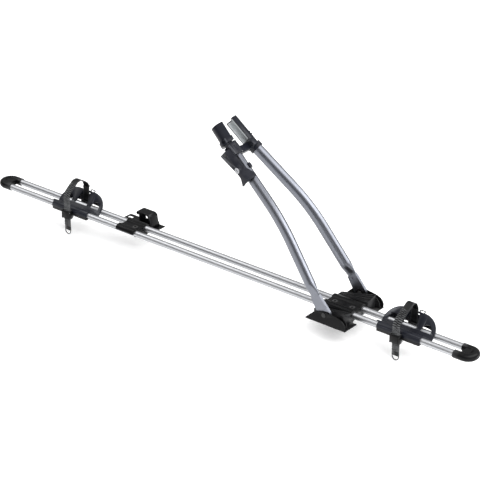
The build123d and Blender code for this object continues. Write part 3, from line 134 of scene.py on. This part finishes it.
# %% [markdown]
# All finishes start alike and share a few moves: noise at one size, a pattern's
# middle stretched to a useful range, a mix of two colours, fine relief, and a painted
# highlight that makes the sharpest edges pale. A small class keeps the node tree and
# its shader together, so that every finish below reads as a short recipe.

# %% One finish under construction
highlight_from, highlight_to = 0.56, 0.66   # pointiness where the painted edge highlight starts and is full


class Finish:
    """One material under construction: its nodes, links and shader."""

    def __init__(self, name, colour, metal, rough, shine=0.5):
        self.material = bpy.data.materials.new(name)
        self.material.use_nodes = True
        self.tree = self.material.node_tree
        self.shader = self.tree.nodes["Principled BSDF"]
        for key, value in (("Base Color", colour), ("Metallic", metal),
                           ("Roughness", rough), ("Specular IOR Level", shine)):
            self.fill(key, value)
        self.place = self.add("ShaderNodeTexCoord").outputs["Object"]

    def add(self, kind, sockets=()):
        return add_node(self.tree, kind, dict(sockets))

    def fill(self, key, value):
        """One of the shader's own sockets gets a value or a link."""
        feed(self.tree, self.shader.inputs[key], value)

    def noise(self, scale, detail=2.0, rough=0.5, at=None):
        node = self.add("ShaderNodeTexNoise", {
            "Vector": self.place if at is None else at,
            "Scale": scale, "Detail": detail, "Roughness": rough})
        return node.outputs["Fac"]

    def spread(self, pattern, low, high, from_low=0.3, from_high=0.7):
        """A pattern's middle stretched to run from low to high."""
        node = self.add("ShaderNodeMapRange", {
            "Value": pattern, "From Min": from_low, "From Max": from_high,
            "To Min": low, "To Max": high})
        return node.outputs["Result"]

    def combine(self, operation, one, other):
        """Two patterns added or multiplied."""
        node = self.add("ShaderNodeMath", {0: one, 1: other})
        node.operation = operation
        return node.outputs[0]

    def mix(self, share, dark, light):
        """A colour between two, by a share."""
        node = self.add("ShaderNodeMix")
        node.data_type = "RGBA"
        for number, value in ((0, share), (6, dark), (7, light)):
            feed(self.tree, node.inputs[number], value)
        return node.outputs[2]

    def bump(self, height, depth, strength):
        """Fine relief that bends the light without changing the shape."""
        node = self.add("ShaderNodeBump", {
            "Height": height, "Distance": depth, "Strength": strength})
        self.fill("Normal", node.outputs["Normal"])

    def paint_edge_highlight(self, base, pale, highlight_span=(highlight_from, highlight_to)):
        """Painted highlight: edges that stand out are made paler, in patches; also returns their
        share.
        """
        point = self.add("ShaderNodeNewGeometry").outputs["Pointiness"]
        edge = self.spread(point, 0.0, 1.0, *highlight_span)
        patches = self.noise(90.0, 4.0)
        self.fill("Base Color", self.mix(self.combine("MULTIPLY", edge, patches), base, pale))
        return edge

    def polish(self, slow, edge, low, high, smoothest=0.16):
        """Roughness that changes slowly over a face and drops on the edges with the painted
        highlight.
        """
        node = self.add("ShaderNodeMix", {0: edge, 2: self.spread(slow, low, high), 3: smoothest})
        self.fill("Roughness", node.outputs[0])


# %% [markdown]
# ## Drawn and anodised aluminium
# The rails and arms are drawn through a die and then anodised, which leaves fine
# lines along the tube and a soft, even gloss. Noise stretched many times along the
# tube gives the lines, and a second, slower noise changes the gloss from patch to
# patch, as handling marks do. The arms are darker than the rails, and their lines
# are turned to run the way the arms lean.

# %% Make the two aluminium finishes
line_scale = (6.0, 700.0, 700.0)   # slow along the tube, fast across it
arm_lean = radians(46)


def drawn_aluminium(name, colour, lean, rough):
    """Metal with drawing lines that lean from the x axis by an angle."""
    finish = Finish(name, colour, 1.0, rough[0])
    along = finish.add("ShaderNodeMapping", {
        "Vector": finish.place, "Scale": line_scale, "Rotation": (0, lean, 0)})
    lines = finish.noise(1.0, 3.0, 0.6, along.outputs["Vector"])
    slow = finish.noise(9.0, 3.0)
    dark = tuple(c * 0.94 for c in colour)
    finish.fill("Base Color", finish.mix(finish.spread(lines, 0.0, 1.0), dark, colour))
    gloss = finish.combine("ADD", lines, slow)   # two patterns, so twice the middle
    finish.fill("Roughness", finish.spread(gloss, *rough, from_low=0.7, from_high=1.3))
    finish.bump(lines, 10 * micron, 0.2)
    return finish.material


rail_metal = drawn_aluminium("drawn_silver_rail", (0.41, 0.415, 0.43), 0, (0.34, 0.42))
arm_metal = drawn_aluminium("satin_silver_arm", (0.17, 0.177, 0.20), arm_lean, (0.30, 0.36))
print("aluminium finishes:", rail_metal.name, arm_metal.name)

# %% [markdown]
# ## Moulded plastics
# The trays, clamp head and covers are glass filled nylon. It is nearly black, with a
# spark-eroded grain finer than a millimetre, and a painted highlight makes its
# sharpest corners pale. The charcoal parts are a little bluer and glossier than the
# black ones. The straps are softer, and their painted highlight starts on blunter
# edges, so it also lies on the tooth tips.

# %% Make the plastic finishes


def moulded_plastic(name, colour, pale, rough, grain, depth, shine,
                    highlight_span=(highlight_from, highlight_to)):
    """Grained nylon whose tone and gloss change slowly, with a painted highlight on its edges."""
    finish = Finish(name, colour, 0.0, rough[0], shine)
    fine = finish.noise(grain, 3.0, 0.55)
    slow = finish.noise(22.0, 3.0)
    dark = tuple(c * 0.72 for c in colour)
    base = finish.mix(finish.spread(slow, 0.0, 1.0), dark, colour)
    # the pale edges are a painted highlight, broken into patches
    edge = finish.paint_edge_highlight(base, pale, highlight_span)
    finish.polish(slow, edge, *rough)
    finish.bump(fine, depth, 0.6)
    return finish.material


black_plastic = moulded_plastic(
    "black_nylon", (0.0030, 0.0031, 0.0035), pale=(0.16, 0.16, 0.165),
    rough=(0.30, 0.40), grain=1500.0, depth=60 * micron, shine=0.12)
charcoal = moulded_plastic(
    "charcoal_nylon", (0.0100, 0.0110, 0.0165), pale=(0.12, 0.124, 0.135),
    rough=(0.30, 0.38), grain=1300.0, depth=50 * micron, shine=0.18)
# the straps' painted highlight starts at a lower pointiness, so it reaches the tooth tips
strap_plastic = moulded_plastic(
    "strap_nylon", (0.0035, 0.0037, 0.0042), pale=(0.17, 0.174, 0.18),
    rough=(0.30, 0.40), grain=1100.0, depth=50 * micron, shine=0.16, highlight_span=(0.52, 0.62))
print("plastic finishes:", black_plastic.name, charcoal.name, strap_plastic.name)

# %% [markdown]
# ## Steel and rubber
# The foot's bracket, the rear plate, the bolts and most pins are steel under a black
# coat, whose surface has a shallow orange peel. The lock, the trays' screws and the
# straps' pins and rivets are zinc plated, with a faint crystal grain. The jaw liners
# are grey rubber, dull and slightly dusty, and the pads on the load bars are black.

# %% Make the steel and rubber finishes


def powder_coat():
    finish = Finish("black_powder_coat", (0.006, 0.006, 0.0065), 0.0, 0.38, shine=0.12)
    peel = finish.noise(420.0)
    slow = finish.noise(30.0)
    dark, light = (0.0022, 0.0022, 0.0025), (0.0042, 0.0042, 0.0045)
    base = finish.mix(finish.spread(slow, 0.0, 1.0), dark, light)
    # the coat's pale edges are a painted highlight
    edge = finish.paint_edge_highlight(base, pale=(0.16, 0.16, 0.16))
    finish.polish(peel, edge, 0.30, 0.44)
    finish.bump(peel, 120 * micron, 0.5)
    return finish.material


def zinc_plate():
    finish = Finish("bright_zinc", (0.34, 0.345, 0.36), 1.0, 0.3)
    crystals = finish.noise(900.0)
    slow = finish.noise(120.0, 3.0)
    dark, light = (0.26, 0.265, 0.28), (0.38, 0.385, 0.40)
    finish.fill("Base Color", finish.mix(finish.spread(slow, 0.0, 1.0), dark, light))
    finish.fill("Roughness", finish.spread(slow, 0.22, 0.42))
    finish.bump(crystals, 30 * micron, 0.4)
    return finish.material


def rubber(name, colour, dusty):
    finish = Finish(name, colour, 0.0, 0.75, shine=0.35)
    dust = finish.noise(160.0, 5.0, 0.65)
    fine = finish.noise(2200.0)
    finish.fill("Base Color", finish.mix(finish.spread(dust, 0.0, 1.0), colour, dusty))
    finish.fill("Roughness", finish.spread(dust, 0.62, 0.85))
    finish.bump(fine, 60 * micron, 0.6)
    return finish.material


finish_of_slot = {
    "rail_metal": rail_metal,
    "arm_metal": arm_metal,
    "black_plastic": black_plastic,
    "charcoal_plastic": charcoal,
    "strap_plastic": strap_plastic,
    "black_steel": powder_coat(),
    "zinc_steel": zinc_plate(),
    "grey_rubber": rubber("grey_rubber", (0.36, 0.38, 0.39), (0.46, 0.48, 0.49)),
    "black_rubber": rubber("black_rubber", (0.008, 0.008, 0.008), (0.015, 0.015, 0.015)),
}
print("finishes:", sorted(finish_of_slot))

# %% [markdown]
# ## Finish every solid
# A solid from the CAD model keeps its mesh and only gets its finish. The loop below
# is the whole of it, because each solid's slot is named in the record.

# %% Give each solid its finish


def set_finish(obj, material):
    obj.data.materials.clear()
    obj.data.materials.append(material)


for node, obj in frame["nodes"].items():
    set_finish(obj, finish_of_slot[slot_of_node[node]])
print("solids with a finish:", len(frame["nodes"]))

# %% [markdown]
# ## Rounded edges on moulded pieces
# A moulding never has a truly sharp edge: its edges are rounded by a few tenths of
# a millimetre, and the thin highlight along them is what makes a plastic part look
# real. The solids from CAD have sharp edges, so each moulding is copied, its loose
# triangles are merged into clean faces, and a Bevel modifier rounds every edge that
# is sharper than an angle.

# %% Copy a solid and round its edges
weld = 0.005 * mm
flat_angle, sharp_angle, smooth_angle = radians(0.6), radians(32), radians(40)


def round_edges(piece, width, segments, sharper_than):
    """A Bevel on the sharp edges, applied, and smooth shading across it."""
    bevel = piece.modifiers.new("Edges", "BEVEL")
    bevel.width, bevel.segments = width, segments
    bevel.limit_method, bevel.angle_limit = "ANGLE", sharper_than
    bpy.ops.object.modifier_apply(modifier="Edges")
    bpy.ops.object.shade_smooth_by_angle(angle=smooth_angle)


def rounded(node, width_mm):
    """A copy of a solid with rounded edges, which stands for that solid."""
    take(frame["nodes"][node])
    bpy.ops.object.duplicate()
    piece = bpy.context.object
    bpy.ops.object.parent_clear(type="CLEAR_KEEP_TRANSFORM")
    piece.name = node + "_moulding"
    if "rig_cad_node" in piece:
        del piece["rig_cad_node"]   # the copy isn't the solid itself
    bpy.ops.object.mode_set(mode="EDIT")
    bpy.ops.mesh.select_all(action="SELECT")
    bpy.ops.mesh.remove_doubles(threshold=weld)
    bpy.ops.mesh.dissolve_limited(angle_limit=flat_angle)
    bpy.ops.object.mode_set(mode="OBJECT")
    round_edges(piece, width_mm * mm, 2, sharp_angle)
    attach(piece, body_of_node[node])
    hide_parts(node)


edge_mm = {
    "foot_bracket": 0.5, "foot_saddle": 0.6, "near_guard": 0.7, "far_guard": 0.7,
    "head_bridge": 1.2, "near_head_block": 0.7, "far_head_collar": 0.7,
    "near_jaw": 0.7, "far_jaw": 0.7, "clamp_lever": 0.6, "lever_catch": 0.6,
    "rear_tray": 0.6, "front_tray": 0.6, "rear_tray_keel": 0.6, "front_tray_keel": 0.6,
    "rear_buckle": 0.5, "front_buckle": 0.5,
    "rear_buckle_lever": 0.5, "front_buckle_lever": 0.5,
    "rear_strap_anchor": 0.4, "front_strap_anchor": 0.4,
    "bracket_saddle": 0.6, "bracket_saddle_base": 0.6,
    "bracket_plate": 0.4, "bracket_lever": 0.8,
}
for node, width_mm in edge_mm.items():
    rounded(node, width_mm)
print("rounded pieces:", len(edge_mm))

# %% [markdown]
# ## Wheel straps
# Each strap is one nylon moulding: a ladder of wedge shaped teeth that the buckle's
# pawl catches, a smooth end that leads down to its anchor, and a pull loop at the
# tail. One link is modelled flat, an Array modifier repeats it with its ends merged,
# and a Curve modifier bends the whole row round the wheel's path. The path is drawn
# first: straight stretches in a plane across the carrier, with an arc at each corner.

# %% A path with rounded corners


def rounded_path(name, points, radii):
    """A Bezier curve through points, with an arc of its own radius at each corner."""
    corners = [Vector(p) * mm for p in points]
    stops = [(corners[0], None, None)]   # each a place, a left and a right handle
    for before, corner, after, radius in zip(corners, corners[1:], corners[2:], radii):
        back, on = (before - corner).normalized(), (after - corner).normalized()
        bend = pi - back.angle(on)
        reach = radius * mm * tan(bend / 2)
        handle = 4 / 3 * tan(bend / 4) * radius * mm
        first, last = corner + back * reach, corner + on * reach
        stops.append((first, None, first - back * handle))
        stops.append((last, last - on * handle, None))
    stops.append((corners[-1], None, None))
    bpy.ops.curve.primitive_bezier_curve_add()
    path = take(bpy.context.object)
    path.name = name
    path.data.splines.clear()
    spline = path.data.splines.new("BEZIER")
    spline.bezier_points.add(len(stops) - 1)
    for i, (here, left, right) in enumerate(stops):
        point = spline.bezier_points[i]
        point.handle_left_type = point.handle_right_type = "FREE"
        point.co = here
        near = stops[max(i - 1, 0)][0].lerp(here, 2 / 3)
        far = stops[min(i + 1, len(stops) - 1)][0].lerp(here, 2 / 3)
        point.handle_left, point.handle_right = left or near, right or far
    path.data.resolution_u = 48
    path.data.twist_mode = "Z_UP"
    return path, spline.calc_length(resolution=64)


# %% [markdown]
# The route goes up from the tail through the buckle, over the rim, through the
# tray's wing and down to the anchor. Its corners are listed as the CAD
# model has them, in millimetres across and up. The front wheel's loop is lower.

# %% The two straps' routes
strap_x = {"rear": -862.0, "front": 167.0}
tail_y, tail_z = -37.5, -45.0
anchor = (33.1, 13.5)
rim_corners = {
    "rear": [(tail_y, 68.0), (4.0, 99.0), (36.4, 74.0)],
    "front": [(tail_y, 52.0), (24.0, 86.0), (34.8, 62.0)],
}
corner_radii = {"rear": (24.0, 22.0, 20.0), "front": (24.0, 12.0, 14.0)}
print("strap planes at x mm:", strap_x)

# %% [markdown]
# Faces are picked in code by where they are and which way they look, as a click
# would pick them in the viewport. The selection is made in object mode, where the
# mesh's own data can be read and set, and edit mode then takes it over.

# %% Pick faces by their place


def pick_faces(obj, wanted):
    """In edit mode, selects just the faces whose middle and direction pass a test."""
    bpy.ops.object.mode_set(mode="OBJECT")
    mesh = obj.data
    for part in (mesh.vertices, mesh.edges, mesh.polygons):
        for item in part:
            item.select = False
    for face in mesh.polygons:
        face.select = wanted(face.center, face.normal)
    bpy.ops.object.mode_set(mode="EDIT")
    bpy.ops.mesh.select_mode(type="FACE")


def settle(obj):
    """The object's place and scale go into its mesh."""
    take(obj)
    bpy.ops.object.transform_apply(location=True, rotation=True, scale=True)


# %% [markdown]
# One link of the ladder is nearly five millimetres long and carries two teeth side by
# side, half a link apart, so that the strap has two staggered rows of them. Each tooth
# is inset and pushed out of the band, and then its upper edge is lowered, which makes
# it steep on one side only. A plain link is cut more finely, so that it bends
# smoothly and only its edges get the painted highlight.

# %% One link of the strap
strap_w, strap_t, link = 20.0 * mm, 1.8 * mm, 4.8 * mm
tooth_h, tooth_drop, tooth_inset = 1.6 * mm, 1.1 * mm, 0.25 * mm
touching = 0.01 * mm


def raise_teeth(piece, length):
    """Two opposite quarters of a link's top are raised into wedges."""
    pick_faces(piece, lambda c, n: n.z > 0.9 and (c.x < length / 2) == (c.y < 0))
    bpy.ops.mesh.inset(thickness=tooth_inset, use_individual=True)
    bpy.ops.mesh.extrude_region_move(TRANSFORM_OT_translate={"value": (0, 0, tooth_h)})
    bpy.ops.object.mode_set(mode="OBJECT")
    for v in piece.data.vertices:
        if v.co.z > tooth_h and v.co.x % (length / 2) > length / 4:
            v.co.z -= tooth_drop
    bpy.ops.object.mode_set(mode="EDIT")


def strap_link(name, toothed, length):
    """A flat link that starts at the origin, open at the ends where the next ones join."""
    bpy.ops.mesh.primitive_cube_add(size=1, location=(length / 2, 0, 0))
    piece = take(bpy.context.object)
    piece.name = name
    piece.scale = (length, strap_w, strap_t)
    settle(piece)
    bpy.ops.object.mode_set(mode="EDIT")
    bpy.ops.mesh.select_all(action="SELECT")
    bpy.ops.mesh.subdivide(number_cuts=1 if toothed else 3)
    if toothed:
        raise_teeth(piece, length)
    pick_faces(piece, lambda c, n: abs(n.x) > 0.99
               and min(abs(c.x), abs(c.x - length)) < touching)
    bpy.ops.mesh.delete(type="FACE")
    bpy.ops.object.mode_set(mode="OBJECT")
    return piece


# %% [markdown]
# A strap is three such rows on one path: a plain tail, the teeth, and a plain end
# that is cut in quarter links because it bends most. The rows are joined, and a small
# bevel takes the sharpness off every edge.

# %% Row the links up and bend them round the wheel
tooth_span = {"rear": (5, 30), "front": (5, 28)}   # in links from the tail's end
tail_gap, edge_width, merge_within = 12 * mm, 0.25 * mm, 0.05 * mm
edge_angle = radians(50)


def along_path(piece, count, path, start):
    """Repeats a link and bends the row along a path, starting some way along it."""
    take(piece)
    row = piece.modifiers.new("Row", "ARRAY")
    row.count = count
    row.use_merge_vertices = True
    row.merge_threshold = merge_within
    bpy.ops.object.modifier_apply(modifier="Row")
    piece.location.x = start
    settle(piece)
    wrap = piece.modifiers.new("Wrap", "CURVE")
    wrap.object = path
    wrap.deform_axis = "POS_X"
    bpy.ops.object.modifier_apply(modifier="Wrap")
    return piece


def make_strap(end):
    route = [(strap_x[end], y, z) for y, z in ((tail_y, tail_z), *rim_corners[end], anchor)]
    path, length = rounded_path(end + "_strap_path", route, corner_radii[end])
    first, last = (number * link for number in tooth_span[end])
    pieces = []
    for kind, start, stop, step in (("_plain", tail_gap, first, link),
                                    ("_teeth", first, last, link),
                                    ("_plain", last, length, link / 4)):
        count = int((stop - start) / step + 0.01)   # whole links, with room for rounding
        piece = strap_link(end + kind, kind == "_teeth", (stop - start) / count)
        pieces.append(along_path(piece, count, path, start))
    clear_selection()
    for piece in pieces:
        piece.select_set(True)
    bpy.context.view_layer.objects.active = pieces[0]
    bpy.ops.object.join()
    strap = take(bpy.context.object)
    strap.name = end + "_strap_band"
    bpy.data.objects.remove(path)
    round_edges(strap, edge_width, 1, edge_angle)
    return strap, length


for end in ("rear", "front"):
    strap, length = make_strap(end)
    print(strap.name, "length mm", round(length / mm), "faces", len(strap.data.polygons))
    set_finish(strap, strap_plastic)
    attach(strap, body_of_node[end + "_strap"])
    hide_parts(end + "_strap")

# %% [markdown]
# ## Pull loop at the tail
# The tail ends in an open ring, thin enough to bend, that a finger goes through to
# pull the strap tight. A thin torus that stands across the strap is all it takes.

# %% The two pull loops
loop_z, loop_r, loop_wire_r = -35.2, 8.7, 1.15
for end in ("rear", "front"):
    bpy.ops.mesh.primitive_torus_add(
        location=(strap_x[end] * mm, tail_y * mm, loop_z * mm), rotation=(pi / 2, 0, 0),
        major_segments=48, minor_segments=10,
        major_radius=loop_r * mm, minor_radius=loop_wire_r * mm)
    loop = take(bpy.context.object)
    loop.name = end + "_pull_loop"
    settle(loop)
    bpy.ops.object.shade_smooth()
    set_finish(loop, strap_plastic)
    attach(loop, body_of_node[end + "_strap"])
    print(loop.name, "faces", len(loop.data.polygons))

# %% [markdown]
# ## Camera
# A long lens from the near front corner, looking slightly down, sees the whole
# carrier along a diagonal of the square picture.

# %% Place the camera
turn, rise = radians(39.192), radians(26.546)   # from -y towards +x, and up
look_at, distance = Vector((-0.321492, 0, 0.0933)), 4.816122
back = Vector((sin(turn) * cos(rise), -cos(turn) * cos(rise), sin(rise)))
bpy.ops.object.camera_add(location=look_at + back * distance)
camera = bpy.context.object
camera.name = "camera"
camera.rotation_mode = "QUATERNION"
camera.rotation_quaternion = (-back).to_track_quat("-Z", "Y")
camera.data.lens, camera.data.sensor_width = 150.0, 36.0
camera.data.clip_start, camera.data.clip_end = 0.1, 80.0
bpy.context.scene.camera = camera
print("camera at:", [round(v, 3) for v in camera.location])

# %% [markdown]
# ## Studio
# The carrier hangs just over a wide pale floor that glows a little, so that only a
# faint shadow is left. Bright metal shows what is around it, so the surroundings
# draw the pale and dark lines along the tubes: a world that is grey near the horizon
# and pale overhead, one soft light up on the left, a wide wall of light beyond the
# front end, and a long light high in front.

# %% Floor and world
floor_z, floor_size, floor_glow = -0.047, 30.0, 0.25
horizon_glow, overhead_glow = 0.14, 0.90
white = (1.0, 1.0, 1.0)
bpy.ops.mesh.primitive_plane_add(size=floor_size, location=(0, 0, floor_z))
floor = bpy.context.object
floor.name = "studio_floor"
floor_finish = Finish("studio_floor", (0.90, 0.90, 0.90), 0.0, 0.9)
floor_finish.fill("Emission Color", white)
floor_finish.fill("Emission Strength", floor_glow)
set_finish(floor, floor_finish.material)

world = bpy.data.worlds.new("studio")
bpy.context.scene.world = world
world.use_nodes = True
sky = world.node_tree
direction = add_node(sky, "ShaderNodeTexCoord", {}).outputs["Generated"]
up = add_node(sky, "ShaderNodeSeparateXYZ", {0: direction}).outputs["Z"]
glow = add_node(sky, "ShaderNodeMapRange", {
    "Value": up, "From Min": 0.05, "From Max": 0.75,
    "To Min": horizon_glow, "To Max": overhead_glow})
glow.interpolation_type = "SMOOTHSTEP"
background = sky.nodes["Background"]
feed(sky, background.inputs["Color"], white)
feed(sky, background.inputs["Strength"], glow.outputs["Result"])
print("floor at:", floor_z, "world:", horizon_glow, "to", overhead_glow)

# %% Three soft lights


def soft_light(name, place, aim, size, watts):
    """A wide rectangle of light that faces a point on the carrier."""
    bpy.ops.object.light_add(type="AREA", location=place)
    light = bpy.context.object
    light.name = name
    light.data.shape = "RECTANGLE"
    light.data.size, light.data.size_y = size
    light.data.energy = watts
    light.rotation_mode = "QUATERNION"
    light.rotation_quaternion = (Vector(aim) - Vector(place)).to_track_quat("-Z", "Y")
    print(name, watts, "W")


soft_light("left_top_light", place=(-2.2, -0.5, 2.6), aim=(-0.5, 0, 0.1),
           size=(1.5, 2.4), watts=30)
soft_light("front_wall_light", place=(1.9, 0.5, 2.1), aim=(-0.2, 0.2, 0.3),
           size=(4.2, 2.0), watts=130)
soft_light("high_front_light", place=(1.15, -1.5, 2.3), aim=(-0.2, 0, 0.3),
           size=(2.4, 1.3), watts=26)
bpy.context.scene.view_settings.view_transform = "Standard"
